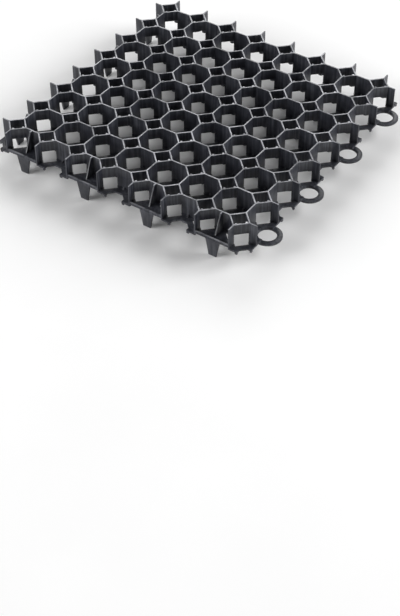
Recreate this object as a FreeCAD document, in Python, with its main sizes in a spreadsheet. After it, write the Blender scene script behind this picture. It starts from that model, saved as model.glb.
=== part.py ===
import FreeCAD, Part
import os
import Sketcher

# Grass paver grid: one moulded plastic piece, a square module of octagon cells with small
# square cells between them. X runs along one spiked side, Y along one ring side, Z is up.
# Features are drawn from the middle of the module on the underside of the floor. Lengths in mm.

NODE = "grass_paver_grid"

DRIVING = [
    ("module", "500"),
    ("cell_count", "8"),
    ("height", "40"),
    ("wall", "2.2"),
    ("floor_thick", "3"),
    ("square_half", "18"),
    ("hole_flat", "15.6"),
    ("window_top", "21"),
    ("window_reach", "17.2"),
    ("sill", "5"),
    ("lift_gap", "3"),
    ("plate_thick", "2"),
    ("beam_thick", "3"),
    ("beam_high", "4.5"),
    ("spike_drop", "29"),
    ("spike_gap", "2"),
    ("spike_tip_half", "7"),
    ("spike_face", "2"),
    ("spike_back", "6"),
    ("spike_tip_face", "2.6"),
    ("spike_tip_back", "5.2"),
    ("gusset_top", "6"),
    ("gusset_foot", "21"),
    ("ring_hole", "15"),
    ("ring_outer", "24"),
    ("ring_thick", "3"),
    ("ring_drop", "2"),
    ("foot_long", "4"),
    ("foot_deep", "3"),
    ("foot_drop", "3"),
    ("foot_gap", "0.3"),
]

DERIVED = [
    ("pitch", "=module / cell_count"),
    ("half", "=module / 2"),
    ("pitch_half", "=pitch / 2"),
    ("cell_flat", "=pitch / 2 - wall / 2"),
    ("cell_run", "=pitch / 2 + wall / 2 - square_half - wall * sqrt(2) / 2"),
    ("hole_run", "=hole_flat * (sqrt(2) - 1)"),
    ("square_in", "=square_half - wall * sqrt(2) / 2"),
    ("window_run", "=square_half + (wall / 2 + sill) * sqrt(2) - window_reach"),
    ("square_first", "=(module - pitch) / 2"),
    ("square_span", "=module - pitch"),
    ("wall_half", "=wall / 2"),
    ("wall_tip", "=pitch / 2 - window_reach"),
    ("plate_tip", "=pitch / 2 - window_run"),
    ("wall_first", "=module / 2 - pitch"),
    ("wall_span", "=module - 2 * pitch"),
    ("link_first", "=(cell_count / 2 - 1) * pitch"),
    ("link_count", "=floor(cell_count / 2)"),
    ("link_span", "=2 * (link_count - 1) * pitch"),
    ("lift", "=ring_thick - ring_drop + lift_gap"),
    ("plate_mid", "=lift + plate_thick / 2"),
    ("spike_root_half", "=ring_hole - spike_gap"),
    ("gusset_in", "=pitch / 2 - gusset_top"),
    ("gusset_out", "=pitch / 2 - gusset_foot"),
    ("foot_near", "=hole_flat + foot_gap"),
    ("foot_far", "=foot_near + foot_long"),
    ("foot_b_near", "=2 * pitch - foot_near"),
    ("foot_b_far", "=2 * pitch - foot_far"),
]

os.makedirs("parts", exist_ok=True)
doc = FreeCAD.newDocument("grass_paver")

dims = doc.addObject("Spreadsheet::Sheet", "dims")
for row, (name, text) in enumerate(DRIVING + DERIVED, start=1):
    dims.set("A%d" % row, name)
    dims.set("B%d" % row, text)
    dims.setAlias("B%d" % row, name)
doc.recompute()


def start_body(name):
    """New body with its own base planes and axes, by the letters of their names."""
    fresh = doc.addObject("PartDesign::Body", name)
    fresh.AllowCompound = True
    given = fresh.Origin.OriginFeatures
    planes = {f.Name.split("_")[0]: f for f in given if "Plane" in f.Name}
    axes = {f.Name.split("_")[0]: f for f in given if "Axis" in f.Name}
    return fresh, planes, axes


def size(word):
    """Value of a named size; a leading minus turns it round, 0 stays 0."""
    if word == "0":
        return 0.0
    if word.startswith("-"):
        return -float(dims.get(word[1:]))
    return float(dims.get(word))


def bound(word):
    """The same named size as an expression."""
    if word == "0":
        return "0"
    if word.startswith("-"):
        return "-dims." + word[1:]
    return "dims." + word


def sketch_at(name, plane, place):
    """Empty sketch on a base plane, shifted by three named sizes in that plane's own axes."""
    sk = body.newObject("Sketcher::SketchObject", name)
    sk.AttachmentSupport = (PLANES[plane], [""])
    sk.MapMode = "FlatFace"
    for letter, word in zip("xyz", place):
        if word != "0":
            sk.setExpression("AttachmentOffset.Base." + letter, bound(word))
    return sk


def outline(sk, corners):
    """Closed outline through corners given as pairs of named sizes."""
    spots = [FreeCAD.Vector(size(u), size(v), 0) for u, v in corners]
    first = sk.GeometryCount
    count = len(spots)
    for i in range(count):
        sk.addGeometry(Part.LineSegment(spots[i], spots[(i + 1) % count]), False)
    for i in range(count):
        sk.addConstraint(Sketcher.Constraint("Coincident", first + i, 2, first + (i + 1) % count, 1))
    for i, (u, v) in enumerate(corners):
        pin(sk, "DistanceX", first + i, u, spots[i].x)
        pin(sk, "DistanceY", first + i, v, spots[i].y)


def pin(sk, kind, line, word, value):
    """Ties a line's start to the origin of the sketch by one named size."""
    if word == "0":
        axis = -2 if kind == "DistanceX" else -1
        sk.addConstraint(Sketcher.Constraint("PointOnObject", line, 1, axis))
        return
    mark = sk.addConstraint(Sketcher.Constraint(kind, -1, 1, line, 1, value))
    sk.setExpression("Constraints[%d]" % mark, bound(word))


def ring_lines(sk, words):
    """Circles about the origin of the sketch, each with a named radius."""
    for word in words:
        circle = Part.Circle(FreeCAD.Vector(0, 0, 0), FreeCAD.Vector(0, 0, 1), size(word))
        index = sk.addGeometry(circle, False)
        sk.addConstraint(Sketcher.Constraint("Coincident", index, 3, -1, 1))
        mark = sk.addConstraint(Sketcher.Constraint("Radius", index, size(word)))
        sk.setExpression("Constraints[%d]" % mark, bound(word))


def solid(kind, name, sk, length, both_ways=False):
    """Pad or pocket of a sketch by a named length; no length means through everything."""
    feature = body.newObject("PartDesign::" + kind, name)
    feature.Profile = sk
    feature.Refine = False
    if length is None:
        feature.Type = "ThroughAll"
    else:
        feature.Type = "Length"
        feature.Length = size(length)
        feature.setExpression("Length", bound(length))
    if both_ways:
        feature.SideType = "Symmetric"
    sk.Visibility = False
    return feature


def grid_of(feature, name, span, count):
    """Square field of copies along X and Y."""
    field = body.newObject("PartDesign::LinearPattern", name)
    field.Originals = [feature]
    field.Refine = False
    field.Direction = (AXES["X"], [""])
    field.Direction2 = (AXES["Y"], [""])
    field.setExpression("Length", bound(span))
    field.setExpression("Length2", bound(span))
    field.setExpression("Occurrences", count)
    field.setExpression("Occurrences2", count)
    body.Tip = field
    return field


def several(features, name, moves):
    """Copies by a chain of moves, each a row along an axis or a flip over a plane."""
    multi = body.newObject("PartDesign::MultiTransform", name)
    multi.Originals = features
    multi.Refine = False
    steps = []
    for i, move in enumerate(moves, start=1):
        if move[0] == "row":
            step = body.newObject("PartDesign::LinearPattern", "%s_row%d" % (name, i))
            step.Direction = (AXES[move[1]], [""])
            step.setExpression("Length", bound(move[2]))
            step.setExpression("Occurrences", move[3])
        else:
            step = body.newObject("PartDesign::Mirrored", "%s_flip%d" % (name, i))
            step.MirrorPlane = (move[1], [""])
        steps.append(step)
    multi.Transformations = steps
    body.Tip = multi
    return multi


def both_sides(features, name, axis, planes):
    """Copies in every second edge cell of one side, then flipped onto the sides given by planes."""
    moves = [("row", axis, "link_span", "dims.link_count")]
    moves += [("flip", plane) for plane in planes]
    return several(features, name, moves)


def plane_across_corners(name):
    """Upright plane through two opposite corners of the module, halfway between X and Y."""
    plane = body.newObject("PartDesign::Plane", name)
    plane.Placement = FreeCAD.Placement(
        FreeCAD.Vector(0, 0, 0),
        FreeCAD.Rotation(FreeCAD.Vector(0, 0, 1), FreeCAD.Vector(1, -1, 0)))
    plane.Visibility = False
    return plane


def octagon(flat, run):
    return [(flat, "-" + run), (flat, run), (run, flat), ("-" + run, flat),
            ("-" + flat, run), ("-" + flat, "-" + run), ("-" + run, "-" + flat), (run, "-" + flat)]


def square_outline(reach):
    return [(reach, "0"), ("0", reach), ("-" + reach, "0"), ("0", "-" + reach)]


def oblong(left, right, low, high):
    return [(left, low), (right, low), (right, high), (left, high)]


# floor plate with an octagon hole under each cell
body, PLANES, AXES = start_body("floor_plate")
corner_plane = plane_across_corners("floor_corner_plane")
sk = sketch_at("floor_plan", "XY", ("0", "0", "0"))
outline(sk, oblong("-half", "half", "-half", "half"))
solid("Pad", "floor_block", sk, "floor_thick")
doc.recompute()
sk = sketch_at("hole_plan", "XY", ("-half", "-half", "floor_thick"))
outline(sk, octagon("hole_flat", "hole_run"))
hole = solid("Pocket", "hole", sk, None)
doc.recompute()
grid_of(hole, "holes_all", "module", "dims.cell_count + 1")
doc.recompute()

# no floor low down in the spiked edge cells, where the rings of the next grid come in
sk = sketch_at("room_plan", "XY", ("-link_first", "-half", "floor_thick"))
outline(sk, oblong("-cell_flat", "cell_flat", "-wall", "cell_flat"))
room = solid("Pocket", "room", sk, None)
doc.recompute()
both_sides([room], "rooms_all", "X", [corner_plane])
doc.recompute()

# the small squares have no floor, and the floor stands back from the windows in their walls
sk = sketch_at("floor_square_plan", "XY", ("-square_first", "-square_first", "floor_thick"))
outline(sk, octagon("window_reach", "window_run"))
square = solid("Pocket", "floor_square", sk, None)
doc.recompute()
grid_of(square, "floor_squares_all", "square_span", "dims.cell_count")
doc.recompute()
floor_plate = body

# upper band of the walls, round every octagon and every small square, up to the rim
body, PLANES, AXES = start_body("wall_bands")
sk = sketch_at("band_plan", "XY", ("0", "0", "window_top"))
outline(sk, oblong("-half", "half", "-half", "half"))
bands = solid("Pad", "band_block", sk, "height")
bands.setExpression("Length", "dims.height - dims.window_top")
doc.recompute()
sk = sketch_at("cell_plan", "XY", ("-half", "-half", "height"))
outline(sk, octagon("cell_flat", "cell_run"))
cell = solid("Pocket", "cell", sk, None)
doc.recompute()
grid_of(cell, "cells_all", "module", "dims.cell_count + 1")
doc.recompute()
sk = sketch_at("square_plan", "XY", ("-square_first", "-square_first", "height"))
outline(sk, square_outline("square_in"))
square = solid("Pocket", "square", sk, None)
doc.recompute()
grid_of(square, "squares_all", "square_span", "dims.cell_count")
doc.recompute()
wall_bands = body

# lower walls between neighbouring octagons, with open windows into the small squares between them
body, PLANES, AXES = start_body("lower_walls")
corner_plane = plane_across_corners("lower_corner_plane")
sk = sketch_at("wall_plan", "XY", ("-wall_first", "-square_first", "floor_thick"))
outline(sk, oblong("-wall_tip", "wall_tip", "-wall_half", "wall_half"))
lower = solid("Pad", "lower_wall", sk, "window_top")
lower.setExpression("Length", "dims.window_top - dims.floor_thick")
doc.recompute()
several([lower], "lower_all", [
    ("row", "X", "wall_span", "dims.cell_count - 1"),
    ("row", "Y", "square_span", "dims.cell_count"),
    ("flip", corner_plane)])
doc.recompute()

# the half walls that end on the outline
sk = sketch_at("end_plan", "XY", ("-half", "-square_first", "floor_thick"))
outline(sk, oblong("0", "wall_tip", "-wall_half", "wall_half"))
end_wall = solid("Pad", "end_wall", sk, "window_top")
end_wall.setExpression("Length", "dims.window_top - dims.floor_thick")
doc.recompute()
several([end_wall], "ends_all", [
    ("row", "Y", "square_span", "dims.cell_count"),
    ("flip", PLANES["YZ"]),
    ("flip", corner_plane)])
doc.recompute()
lower_walls = body

# what stands on the walls and floor along the outline
body, PLANES, AXES = start_body("edging")
corner_plane = plane_across_corners("edging_corner_plane")

# lifted floor plate of the spiked edge cells
sk = sketch_at("plate_plan", "XY", ("-link_first", "-half", "lift"))
outline(sk, [("-pitch_half", "0"), ("pitch_half", "0"), ("pitch_half", "wall_tip"),
             ("plate_tip", "wall_tip"), ("wall_tip", "plate_tip"), ("wall_tip", "pitch_half"),
             ("-wall_tip", "pitch_half"), ("-wall_tip", "plate_tip"), ("-plate_tip", "wall_tip"),
             ("-pitch_half", "wall_tip")])
plate = solid("Pad", "plate", sk, "plate_thick")
doc.recompute()
both_sides([plate], "plates_all", "X", [corner_plane])
doc.recompute()

# edge beam across the open front of each spiked cell
sk = sketch_at("beam_plan", "XY", ("-link_first", "-half", "lift"))
outline(sk, oblong("-pitch_half", "pitch_half", "0", "beam_thick"))
beam = solid("Pad", "beam", sk, "beam_high")
doc.recompute()
both_sides([beam], "beams_all", "X", [corner_plane])
doc.recompute()

# upright gusset from the wall behind to the lifted floor
sk = sketch_at("gusset_side", "YZ", ("-half", "0", "-link_first"))
outline(sk, [("gusset_out", "plate_mid"), ("pitch_half", "plate_mid"),
             ("pitch_half", "height"), ("gusset_in", "height")])
gusset = solid("Pad", "gusset", sk, "wall", True)
doc.recompute()
both_sides([gusset], "gussets_all", "X", [corner_plane])
doc.recompute()

# tapered ground spike under each beam
spike = body.newObject("PartDesign::AdditiveWedge", "spike")
spike.AttachmentSupport = (PLANES["XZ"], [""])
spike.MapMode = "FlatFace"
spike.Refine = False
spike.setExpression("AttachmentOffset.Base.x", bound("-link_first"))
spike.setExpression("AttachmentOffset.Base.z", bound("half"))
for side, word in [("Ymin", "-spike_drop"), ("Ymax", "plate_mid"),
                   ("Xmin", "-spike_tip_half"), ("Xmax", "spike_tip_half"),
                   ("Zmin", "-spike_tip_back"), ("Zmax", "-spike_tip_face"),
                   ("X2min", "-spike_root_half"), ("X2max", "spike_root_half"),
                   ("Z2min", "-spike_back"), ("Z2max", "-spike_face")]:
    setattr(spike, side, size(word))
    spike.setExpression(side, bound(word))
doc.recompute()
both_sides([spike], "spikes_all", "X", [corner_plane])
doc.recompute()

# link rings at floor level, half of each standing out past the edge
sk = sketch_at("ring_plan", "XY", ("half", "-link_first", "-ring_drop"))
ring_lines(sk, ["ring_outer", "ring_hole"])
ring = solid("Pad", "ring", sk, "ring_thick")
doc.recompute()
both_sides([ring], "rings_all", "Y", [corner_plane])
doc.recompute()

# small feet under the floor where the open edge cells meet the outline
sk = sketch_at("foot_plan", "XY", ("-half", "-half", "-foot_drop"))
outline(sk, oblong("foot_near", "foot_far", "0", "foot_deep"))
outline(sk, oblong("foot_b_far", "foot_b_near", "0", "foot_deep"))
foot = solid("Pad", "foot", sk, "foot_drop")
foot.setExpression("Length", "dims.foot_drop + dims.floor_thick / 2")
doc.recompute()
both_sides([foot], "feet_all", "X", [PLANES["XZ"], corner_plane])
doc.recompute()

# one moulded piece, set down with the middle of its bounding box's underside at the origin
edging = body
zones = [floor_plate, lower_walls, wall_bands, edging]
grid = doc.addObject("Part::MultiFuse", "grid")
grid.Label = NODE
grid.Shapes = zones
grid.Refine = True
grid.setExpression("Placement.Base.x", "-dims.ring_outer / 2")
grid.setExpression("Placement.Base.y", "-dims.ring_outer / 2")
grid.setExpression("Placement.Base.z", "dims.spike_drop")
doc.recompute()

for obj in doc.Objects:
    if "Invalid" in obj.State or "Error" in obj.State:
        raise RuntimeError("feature not built: " + obj.Name)

shape = grid.Shape
if shape.isNull() or not shape.isValid():
    raise RuntimeError("shape not sound")
if len(shape.Solids) != 1:
    raise RuntimeError("expected one solid, found %d" % len(shape.Solids))

shape.exportStep(os.path.join("parts", NODE + ".step"))
print(NODE, "volume_cm3", round(shape.Volume / 1000, 1), "box", shape.BoundBox)
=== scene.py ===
"""Grass paver grid: one black moulded plastic piece on a pale studio floor."""
import math

import bmesh
import bpy
from mathutils import Matrix, Vector


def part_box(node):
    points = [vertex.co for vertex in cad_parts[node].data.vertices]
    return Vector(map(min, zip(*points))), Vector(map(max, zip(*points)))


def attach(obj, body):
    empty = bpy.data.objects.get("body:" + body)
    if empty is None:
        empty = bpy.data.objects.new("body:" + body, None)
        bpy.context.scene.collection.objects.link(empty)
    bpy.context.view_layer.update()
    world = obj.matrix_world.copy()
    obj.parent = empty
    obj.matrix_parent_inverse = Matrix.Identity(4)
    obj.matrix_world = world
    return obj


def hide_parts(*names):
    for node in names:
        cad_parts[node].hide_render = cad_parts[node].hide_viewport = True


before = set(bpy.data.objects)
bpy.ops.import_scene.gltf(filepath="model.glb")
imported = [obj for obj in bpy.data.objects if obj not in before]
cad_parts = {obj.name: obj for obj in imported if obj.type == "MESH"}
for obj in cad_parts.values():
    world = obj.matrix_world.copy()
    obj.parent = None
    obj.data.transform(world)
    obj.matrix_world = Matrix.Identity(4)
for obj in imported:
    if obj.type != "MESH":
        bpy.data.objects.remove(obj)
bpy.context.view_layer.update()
NODE = "grass_paver_grid"
LOW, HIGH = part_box(NODE)

# the grid, in metres: WALL_HIGH and BEAM_HIGH are above the underside of its floor
CELLS = 8
PITCH = 0.0625
WALL_HIGH = 0.040
WALL_HALF = 0.0011
FLOOR_THICK = 0.003
BEAM_HIGH = 0.0085
RING_REACH = 0.024
RIM_Z = HIGH[2]
FLOOR_Z = RIM_Z - WALL_HIGH
FLOOR_TOP = FLOOR_Z + FLOOR_THICK
BEAM_TOP = FLOOR_Z + BEAM_HIGH
MODULE_MID = Vector(((LOW[0] + HIGH[0] - RING_REACH) / 2, (LOW[1] + HIGH[1] - RING_REACH) / 2, RIM_Z))

# rounded edges
EDGE_ROUND = 0.00035
EDGE_STEPS = 2
EDGE_PROFILE = 0.5
SHARP_ANGLE = math.radians(30)
SMOOTH_ANGLE = math.radians(34)
FLAT_ANGLE = math.radians(0.6)
SAME_POINT = 2e-6

# square floor openings below the windows
FOOT_HALF = 0.0108
FOOT_REACH = 0.0192
FOOT_UNDER = 0.001
FOOT_HIGH = 0.008

# round pads at the rim: depth below it and share of the radius, from the tip up
PAD_RADIUS = 0.0019
PAD_IN = 0.0102
PAD_APART = 0.0083
PAD_TURNS = 12
PAD_RINGS = [(0.007, 0.55), (0.0035, 1.0), (0.0004, 1.0), (0.0, 0.78)]
# share of painted glint on each pad's top, brighter on one side
PAD_GLINT = {-PAD_APART: 0.35, PAD_APART: 0.85}

# small gussets at the foot of the walls
RIB_LONG = 0.0058
RIB_HIGH = 0.0042
RIB_HALF = 0.0009
RIB_SUNK = 0.0004

# finish of the plastic, with painted highlights on the rims, beam tops and pad tops
PLASTIC_TONES = [
    (0.36, (0.0078, 0.0088, 0.0132)),
    (0.50, (0.0236, 0.0254, 0.0340)),
    (0.64, (0.0675, 0.0713, 0.0851)),
]
# colour of the painted highlights on the rims and beam tops, and of the dust
HIGHLIGHT_AND_DUST_COLOUR = (0.419, 0.428, 0.462, 1.0)
# colour of the painted glints on the pad tops
PAD_GLINT_COLOUR = (0.79, 0.80, 0.83, 1.0)
DRAW_STRETCH = (1.0, 1.0, 0.06)
FACING_UP = (0.35, 0.9)
RIM_BAND = (RIM_Z - 0.0012, RIM_Z - 0.0002)
BEAM_BAND_LOW = (BEAM_TOP - 0.0007, BEAM_TOP - 0.0002)
BEAM_BAND_HIGH = (BEAM_TOP + 0.0003, BEAM_TOP + 0.0005)
# strength of the painted highlights on the beam tops and on the rims
BEAM_HIGHLIGHT = 0.95
HIGHLIGHT_MOST = 0.9
DUST_MOST = 0.10
GLOSS_ROUGHNESS = (0.27, 0.47)
PLASTIC_IOR = 1.5
PLASTIC_SPECULAR = 0.5

# studio floor, with a glow that grows away from the grid, none under and close around it: a painted shadow
# there
WHITE = (1.0, 1.0, 1.0, 1.0)
STAGE_HALF = 24.0
STAGE_GAP = 0.0002
STAGE_TONES = [(0.3, (0.88, 0.88, 0.88)), (0.7, (0.91, 0.91, 0.91))]
STAGE_ROUGHNESS = 0.85
STAGE_SPECULAR = 0.1
# no glow under and close around the grid: a painted shadow there
PAINTED_SHADOW_FADE = (0.26, 0.52)
GLOW_PAST_PAINTED_SHADOW = 0.09
GLOW_FAR = (1.2, 6.0)
GLOW_FAR_MOST = 0.65

# room light and lamps
ROOM_LEAN = (-0.85, -0.35, 0.2)
ROOM_SPAN = (-0.9, 0.9)
ROOM_DARK = 0.04
ROOM_LIGHT = 0.70
CEILING = 0.35
CEILING_RISE = (0.15, 0.75)
HORIZON_RISE = (0.06, 0.30)
LAMP_SIZE = (2.7, 1.8)
LAMP_TARGET = (0, 0, 0.03)
LAMPS = [
    ("key_left", (-2.4, -2.9, 2.0), 110),
    ("key_right", (3.1, 2.2, 2.0), 188),
    ("back_left", (-2.1, 3.3, 2.3), 68),
]

# the photograph's view: angles in radians, focal length and image in pixels, lengths in pitches
VIEW_AZIMUTH = -0.971974685
VIEW_ELEVATION = 0.757874968
VIEW_ROLL = -0.0037021
VIEW_FOCAL = 1362.456
VIEW_DISTANCE = 36.66865
VIEW_ACROSS = 0.0397886
VIEW_UPWARD = 5.5093809
IMAGE_HIGH = 616.0
SENSOR_WIDE = 36.0
SIGHT_END = 50.0


class Shading:
    """The nodes of a material or of the world, with a short call for each kind used here."""

    def __init__(self, tree):
        self.nodes = tree.nodes
        self.links = tree.links

    def coord(self, kind):
        return self.nodes.new("ShaderNodeTexCoord").outputs[kind]

    def upright(self, vector):
        """The Z part of a vector."""
        node = self.nodes.new("ShaderNodeSeparateXYZ")
        self.links.new(vector, node.inputs["Vector"])
        return node.outputs["Z"]

    def noise(self, coord, scale, detail, roughness=0.55, stretch=None):
        vector = coord
        if stretch is not None:
            mapping = self.nodes.new("ShaderNodeMapping")
            mapping.inputs["Scale"].default_value = stretch
            self.links.new(coord, mapping.inputs["Vector"])
            vector = mapping.outputs["Vector"]
        node = self.nodes.new("ShaderNodeTexNoise")
        node.inputs["Scale"].default_value = scale
        node.inputs["Detail"].default_value = detail
        node.inputs["Roughness"].default_value = roughness
        self.links.new(vector, node.inputs["Vector"])
        return node.outputs["Fac"]

    def ramp(self, value, stops):
        node = self.nodes.new("ShaderNodeValToRGB")
        elements = node.color_ramp.elements
        while len(elements) < len(stops):
            elements.new(0.5)
        for element, (at, colour) in zip(elements, stops):
            element.position = at
            element.color = (*colour, 1.0)
        self.links.new(value, node.inputs["Fac"])
        return node.outputs["Color"]

    def maths(self, kind, first, second):
        node = self.nodes.new("ShaderNodeMath")
        node.operation = kind
        for socket, value in zip(node.inputs, (first, second)):
            if isinstance(value, (int, float)):
                socket.default_value = value
            else:
                self.links.new(value, socket)
        return node.outputs["Value"]

    def times(self, first, second):
        return self.maths("MULTIPLY", first, second)

    def larger(self, first, second):
        return self.maths("MAXIMUM", first, second)

    def weighed(self, first, first_share, second, second_share):
        """Sum of two values, each times its share."""
        return self.maths("ADD", self.times(first, first_share), self.times(second, second_share))

    def spread(self, value, span, result=(0.0, 1.0)):
        """Stretch a span of values to a new range, held at its ends."""
        node = self.nodes.new("ShaderNodeMapRange")
        node.inputs["From Min"].default_value, node.inputs["From Max"].default_value = span
        node.inputs["To Min"].default_value, node.inputs["To Max"].default_value = result
        self.links.new(value, node.inputs["Value"])
        return node.outputs["Result"]

    def mix(self, share, base, colour):
        """The base colour, with a share of another over it."""
        node = self.nodes.new("ShaderNodeMix")
        node.data_type = "RGBA"
        self.links.new(share, node.inputs["Factor"])
        self.links.new(base, node.inputs["A"])
        node.inputs["B"].default_value = colour
        return node.outputs["Result"]

    def bump(self, height, strength, distance, under=None):
        """Relief on the surface, or on another relief under it."""
        node = self.nodes.new("ShaderNodeBump")
        node.inputs["Strength"].default_value = strength
        node.inputs["Distance"].default_value = distance
        self.links.new(height, node.inputs["Height"])
        if under is not None:
            self.links.new(under, node.inputs["Normal"])
        return node.outputs["Normal"]

    def vector_maths(self, kind, vector):
        node = self.nodes.new("ShaderNodeVectorMath")
        node.operation = kind
        self.links.new(vector, node.inputs[0])
        return node

    def seen_straight(self):
        """1 for rays that show a surface, straight, mirrored or through glass, 0 for rays that light it."""
        path = self.nodes.new("ShaderNodeLightPath").outputs
        seen = self.larger(path["Is Camera Ray"], path["Is Transmission Ray"])
        return self.larger(seen, path["Is Glossy Ray"])


def new_material(name):
    """A new material, its nodes and its shader."""
    mat = bpy.data.materials.new(name)
    mat.use_nodes = True
    nodes = mat.node_tree.nodes
    nodes.clear()
    out = nodes.new("ShaderNodeOutputMaterial")
    bsdf = nodes.new("ShaderNodeBsdfPrincipled")
    mat.node_tree.links.new(bsdf.outputs["BSDF"], out.inputs["Surface"])
    return mat, Shading(mat.node_tree), bsdf


def add_object(name, data):
    """A new object in the scene."""
    added = bpy.data.objects.new(name, data)
    bpy.context.scene.collection.objects.link(added)
    return added


def black_plastic():
    """Black moulded plastic: cloudy charcoal, satin skin, painted highlights on the rims, beam tops and pad
    tops, dust.
    """
    mat, shade, bsdf = new_material("black_plastic")
    coord = shade.coord("Object")
    height = shade.upright(coord)
    facing = shade.upright(shade.nodes.new("ShaderNodeNewGeometry").outputs["Normal"])

    cloud = shade.noise(coord, scale=22.0, detail=6.0, roughness=0.6)
    streak = shade.noise(coord, scale=260.0, detail=3.0, roughness=0.5, stretch=DRAW_STRETCH)
    fleck = shade.noise(coord, scale=700.0, detail=2.0, roughness=0.6)
    plain = shade.ramp(shade.weighed(cloud, 0.4, streak, 0.6), PLASTIC_TONES)

    # painted highlights, in patches, on the rims and on the tops of the edge beams
    upward = shade.spread(facing, FACING_UP)
    near_rim = shade.spread(height, RIM_BAND)
    above_beam = shade.spread(height, BEAM_BAND_HIGH, (BEAM_HIGHLIGHT, 0.0))
    below_beam = shade.spread(height, BEAM_BAND_LOW)
    near_edge = shade.larger(near_rim, shade.times(above_beam, below_beam))
    broad_highlight_patches = shade.noise(coord, scale=26.0, detail=2.0)
    fine_highlight_patches = shade.noise(coord, scale=140.0, detail=5.0, roughness=0.7)
    highlight_patches = shade.spread(shade.weighed(broad_highlight_patches, 0.55, fine_highlight_patches, 0.45), (0.41, 0.59), (0.15, 1.0))
    highlight_part = shade.times(shade.times(shade.times(near_edge, upward), highlight_patches), HIGHLIGHT_MOST)

    # dust on all that faces up
    dust_cloud = shade.noise(coord, scale=48.0, detail=6.0, roughness=0.65)
    dust_part = shade.times(upward, shade.spread(dust_cloud, (0.45, 0.75), (0.0, DUST_MOST)))
    # base colour with the painted highlights and the dust over it
    highlighted_and_dusty = shade.mix(shade.larger(highlight_part, dust_part), plain, HIGHLIGHT_AND_DUST_COLOUR)

    # painted glints on the tops of the pads, some brighter than others
    pad_glint = shade.nodes.new("ShaderNodeAttribute")
    pad_glint.attribute_name = "pad_glint"
    glint_patches = shade.spread(shade.noise(coord, scale=14.0, detail=1.0), (0.42, 0.62), (0.1, 1.0))
    colour = shade.mix(shade.times(pad_glint.outputs["Fac"], glint_patches), highlighted_and_dusty, PAD_GLINT_COLOUR)
    shade.links.new(colour, bsdf.inputs["Base Color"])

    haze = shade.noise(coord, scale=130.0, detail=4.0, roughness=0.6)
    gloss = shade.spread(shade.weighed(streak, 0.5, haze, 0.5), (0.3, 0.7), GLOSS_ROUGHNESS)
    shade.links.new(gloss, bsdf.inputs["Roughness"])
    bsdf.inputs["Specular IOR Level"].default_value = PLASTIC_SPECULAR
    bsdf.inputs["IOR"].default_value = PLASTIC_IOR

    # sink marks, draw marks over them, and a fine skin over both
    dents = shade.noise(coord, scale=55.0, detail=2.0, roughness=0.4)
    sink = shade.bump(dents, strength=0.25, distance=0.0006)
    drag = shade.bump(streak, strength=0.34, distance=0.0004, under=sink)
    skin = shade.bump(fleck, strength=0.10, distance=0.0003, under=drag)
    shade.links.new(skin, bsdf.inputs["Normal"])
    return mat


def square_middles():
    """Middles of the small squares, seen from above."""
    steps = [(i - (CELLS - 1) / 2) * PITCH for i in range(CELLS)]
    return [Vector((MODULE_MID.x + x, MODULE_MID.y + y, 0)) for x in steps for y in steps]


def diagonal(middle, out, along, z):
    """Point seen from a small square's middle: out towards the +X -Y corner, along its wall there."""
    root = math.sqrt(0.5)
    return Vector((middle.x + root * (out + along), middle.y + root * (along - out), z))


def window_feet():
    """Crosses that square off the floor openings below the four windows of each small square."""
    plan = []
    arm = [(FOOT_REACH, -FOOT_HALF), (FOOT_REACH, FOOT_HALF), (FOOT_HALF, FOOT_HALF)]
    for _ in range(4):
        plan += arm
        arm = [(-along, out) for out, along in arm]
    count = len(plan)
    bm = bmesh.new()
    for middle in square_middles():
        low = [bm.verts.new(diagonal(middle, out, along, FLOOR_Z - FOOT_UNDER)) for out, along in plan]
        high = [bm.verts.new(diagonal(middle, out, along, FLOOR_Z + FOOT_HIGH)) for out, along in plan]
        bm.faces.new(low)
        bm.faces.new(high[::-1])
        for i in range(count):
            after = (i + 1) % count
            bm.faces.new((low[i], high[i], high[after], low[after]))
    bmesh.ops.recalc_face_normals(bm, faces=bm.faces)
    mesh = bpy.data.meshes.new("window_feet")
    bm.to_mesh(mesh)
    bm.free()
    return mesh


def cut_away(mesh, cutter_mesh):
    """Copy of a mesh with another cut out of it, in place of the two."""
    body = add_object("to_cut", mesh)
    cutter = add_object("cutter", cutter_mesh)
    cut = body.modifiers.new("cut", "BOOLEAN")
    cut.operation = "DIFFERENCE"
    cut.solver = "EXACT"
    cut.object = cutter
    result = bpy.data.meshes.new_from_object(body.evaluated_get(bpy.context.evaluated_depsgraph_get()))
    for part in (body, cutter):
        bpy.data.objects.remove(part)
    for spent in (mesh, cutter_mesh):
        bpy.data.meshes.remove(spent)
    return result


def join_flats(bm):
    """Join doubled points, and neighbouring faces that lie in one plane."""
    bmesh.ops.remove_doubles(bm, verts=bm.verts, dist=SAME_POINT)
    bmesh.ops.dissolve_limit(bm, angle_limit=FLAT_ANGLE, verts=bm.verts, edges=bm.edges,
                             use_dissolve_boundaries=False)


def rim_pads(bm):
    """Two small round pads at the rim inside each small square, on its wall towards the +X -Y corner."""
    angles = [2 * math.pi * k / PAD_TURNS for k in range(PAD_TURNS)]
    circle = [Vector((math.cos(angle), math.sin(angle), 0)) for angle in angles]
    # share of painted glint on each pad's top, kept on its upper rings
    pad_glint = bm.verts.layers.float.new("pad_glint")
    for middle in square_middles():
        for side, glint in PAD_GLINT.items():
            hub = diagonal(middle, PAD_IN, side, 0)
            lean = diagonal(middle, PAD_IN + PAD_RADIUS, side, 0) - hub
            loops = []
            for depth, share in PAD_RINGS:
                centre = hub + lean * (1 - share)
                spots = [centre + PAD_RADIUS * share * turn for turn in circle]
                loops.append([bm.verts.new((spot.x, spot.y, RIM_Z - depth)) for spot in spots])
            for vert in loops[-2] + loops[-1]:
                vert[pad_glint] = glint
            bm.faces.new(loops[0][::-1])
            bm.faces.new(loops[-1])
            for lower, upper in zip(loops, loops[1:]):
                for k in range(PAD_TURNS):
                    after = (k + 1) % PAD_TURNS
                    bm.faces.new((lower[k], lower[after], upper[after], upper[k]))


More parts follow.
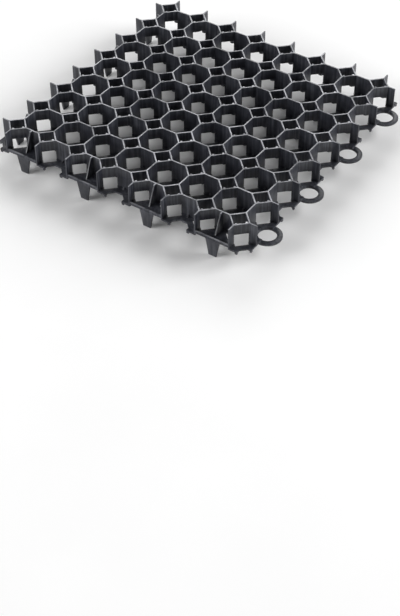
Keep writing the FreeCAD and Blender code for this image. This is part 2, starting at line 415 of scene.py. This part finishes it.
def foot_ribs(bm):
    """Small gussets at the foot of the walls between octagons, on the sides that face the spikes."""
    for column in range(1, CELLS):
        for row in range(CELLS):
            spiked = row == 0 and column % 2 == 1
            if spiked:
                continue
            along = (column - CELLS / 2) * PITCH
            face = (row - (CELLS - 1) / 2) * PITCH - WALL_HALF
            profile = [(face + RIB_SUNK, FLOOR_TOP - RIB_SUNK), (face - RIB_LONG, FLOOR_TOP - RIB_SUNK),
                       (face + RIB_SUNK, FLOOR_TOP + RIB_HIGH)]
            for turned in (False, True):
                sides = []
                for shift in (-RIB_HALF, RIB_HALF):
                    spots = [(along + shift, across, z) for across, z in profile]
                    if turned:
                        spots = [(y, x, z) for x, y, z in spots]
                    corners = [(MODULE_MID.x + x, MODULE_MID.y + y, z) for x, y, z in spots]
                    sides.append([bm.verts.new(corner) for corner in corners])
                left, right = sides
                faces = [bm.faces.new(left), bm.faces.new(right[::-1])]
                for k in range(len(profile)):
                    after = (k + 1) % len(profile)
                    faces.append(bm.faces.new((left[k], right[k], right[after], left[after])))
                bmesh.ops.recalc_face_normals(bm, faces=faces)


def grid_moulding():
    """The grid with a moulding's small rounded edges, square floor openings, rim pads and foot ribs."""
    bm = bmesh.new()
    bm.from_mesh(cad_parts[NODE].data)
    join_flats(bm)
    plain = bpy.data.meshes.new("plain_grid")
    bm.to_mesh(plain)
    bm.free()
    opened = cut_away(plain, window_feet())
    bm = bmesh.new()
    bm.from_mesh(opened)
    bpy.data.meshes.remove(opened)
    join_flats(bm)
    sharp = [edge for edge in bm.edges
             if len(edge.link_faces) == 2 and edge.calc_face_angle(0.0) > SHARP_ANGLE]
    bmesh.ops.bevel(bm, geom=sharp, offset=EDGE_ROUND, offset_type="OFFSET", segments=EDGE_STEPS,
                    profile=EDGE_PROFILE, affect="EDGES", clamp_overlap=True, material=-1)
    rim_pads(bm)
    foot_ribs(bm)
    bmesh.ops.triangulate(bm, faces=[face for face in bm.faces if len(face.verts) > 4])
    mesh = bpy.data.meshes.new("grid_moulding")
    bm.to_mesh(mesh)
    bm.free()
    piece = add_object("grid_moulding", mesh)
    for polygon in mesh.polygons:
        polygon.use_smooth = True
    mesh.set_sharp_from_angle(angle=SMOOTH_ANGLE)
    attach(piece, "root")
    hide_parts(NODE)
    return piece


def studio_floor():
    """Wide pale floor that keeps the grid's shadow, with painted shadow under and around the grid where its
    glow is held back, and white further out.
    """
    mesh = bpy.data.meshes.new("studio_floor")
    corners = [(-1, -1), (1, -1), (1, 1), (-1, 1)]
    mesh.from_pydata([(STAGE_HALF * x, STAGE_HALF * y, 0) for x, y in corners], [], [(0, 1, 2, 3)])
    floor = add_object("studio_floor", mesh)
    mat, shade, bsdf = new_material("studio_floor")
    coord = shade.coord("Object")
    tone = shade.ramp(shade.noise(coord, scale=3.0, detail=3.0), STAGE_TONES)
    shade.links.new(tone, bsdf.inputs["Base Color"])
    bsdf.inputs["Roughness"].default_value = STAGE_ROUGHNESS
    bsdf.inputs["Specular IOR Level"].default_value = STAGE_SPECULAR
    bsdf.inputs["Emission Color"].default_value = WHITE
    away = shade.vector_maths("LENGTH", coord).outputs["Value"]
    # glow held back under and around the grid: painted shadow
    glow_past_painted_shadow = shade.spread(away, PAINTED_SHADOW_FADE, (0.0, GLOW_PAST_PAINTED_SHADOW))
    glow_far = shade.spread(away, GLOW_FAR, (0.0, GLOW_FAR_MOST))
    glow = shade.times(shade.seen_straight(), shade.maths("ADD", glow_past_painted_shadow, glow_far))
    shade.links.new(glow, bsdf.inputs["Emission Strength"])
    mesh.materials.append(mat)
    floor.location = (0, 0, LOW[2] - STAGE_GAP)


def soft_box(name, place, power):
    """Large soft lamp, turned to the grid."""
    light = bpy.data.lights.new(name, "AREA")
    light.shape = "RECTANGLE"
    light.size, light.size_y = LAMP_SIZE
    light.energy = power
    lamp = add_object(name, light)
    lamp.location = place
    lamp.rotation_euler = (Vector(LAMP_TARGET) - Vector(place)).to_track_quat("-Z", "Y").to_euler()


def photo_camera():
    """The photograph's view: straight lens, no shift, the grid in the upper part of the frame."""
    level = math.cos(VIEW_ELEVATION)
    ahead = -Vector((level * math.cos(VIEW_AZIMUTH), level * math.sin(VIEW_AZIMUTH),
                     math.sin(VIEW_ELEVATION)))
    right = ahead.cross(Vector((0, 0, 1))).normalized()
    up = right.cross(ahead)
    right_rolled = right * math.cos(VIEW_ROLL) + up * math.sin(VIEW_ROLL)
    up_rolled = -right * math.sin(VIEW_ROLL) + up * math.cos(VIEW_ROLL)
    sight = right_rolled * VIEW_ACROSS + up_rolled * VIEW_UPWARD + ahead * VIEW_DISTANCE
    data = bpy.data.cameras.new("camera")
    data.sensor_width = SENSOR_WIDE
    data.sensor_fit = "AUTO"
    data.lens = VIEW_FOCAL / IMAGE_HIGH * SENSOR_WIDE
    data.clip_end = SIGHT_END
    camera = add_object("camera", data)
    turn = Matrix((right_rolled, up_rolled, -ahead)).transposed().to_4x4()
    camera.matrix_world = Matrix.Translation(MODULE_MID - PITCH * sight) @ turn
    bpy.context.scene.camera = camera


def studio_world():
    """Soft room light, stronger from the left than from the right, with a pale horizon to look at."""
    world = bpy.data.worlds.new("studio")
    bpy.context.scene.world = world
    world.use_nodes = True
    shade = Shading(world.node_tree)
    direction = shade.coord("Generated")
    lean = shade.vector_maths("DOT_PRODUCT", direction)
    lean.inputs[1].default_value = ROOM_LEAN
    level = shade.spread(lean.outputs["Value"], ROOM_SPAN, (ROOM_DARK, ROOM_LIGHT))
    height = shade.upright(direction)
    ceiling = shade.spread(height, CEILING_RISE, (1.0, CEILING))
    horizon = shade.spread(height, HORIZON_RISE, (1.0, 0.0))
    pale = shade.times(shade.seen_straight(), horizon)
    background = shade.nodes["Background"]
    background.inputs["Color"].default_value = WHITE
    shade.links.new(shade.larger(shade.times(level, ceiling), pale), background.inputs["Strength"])


bpy.context.scene.view_settings.view_transform = "Standard"
studio_world()
grid = grid_moulding()
grid.data.materials.append(black_plastic())
studio_floor()
photo_camera()
for lamp_name, lamp_place, lamp_power in LAMPS:
    soft_box(lamp_name, lamp_place, lamp_power)
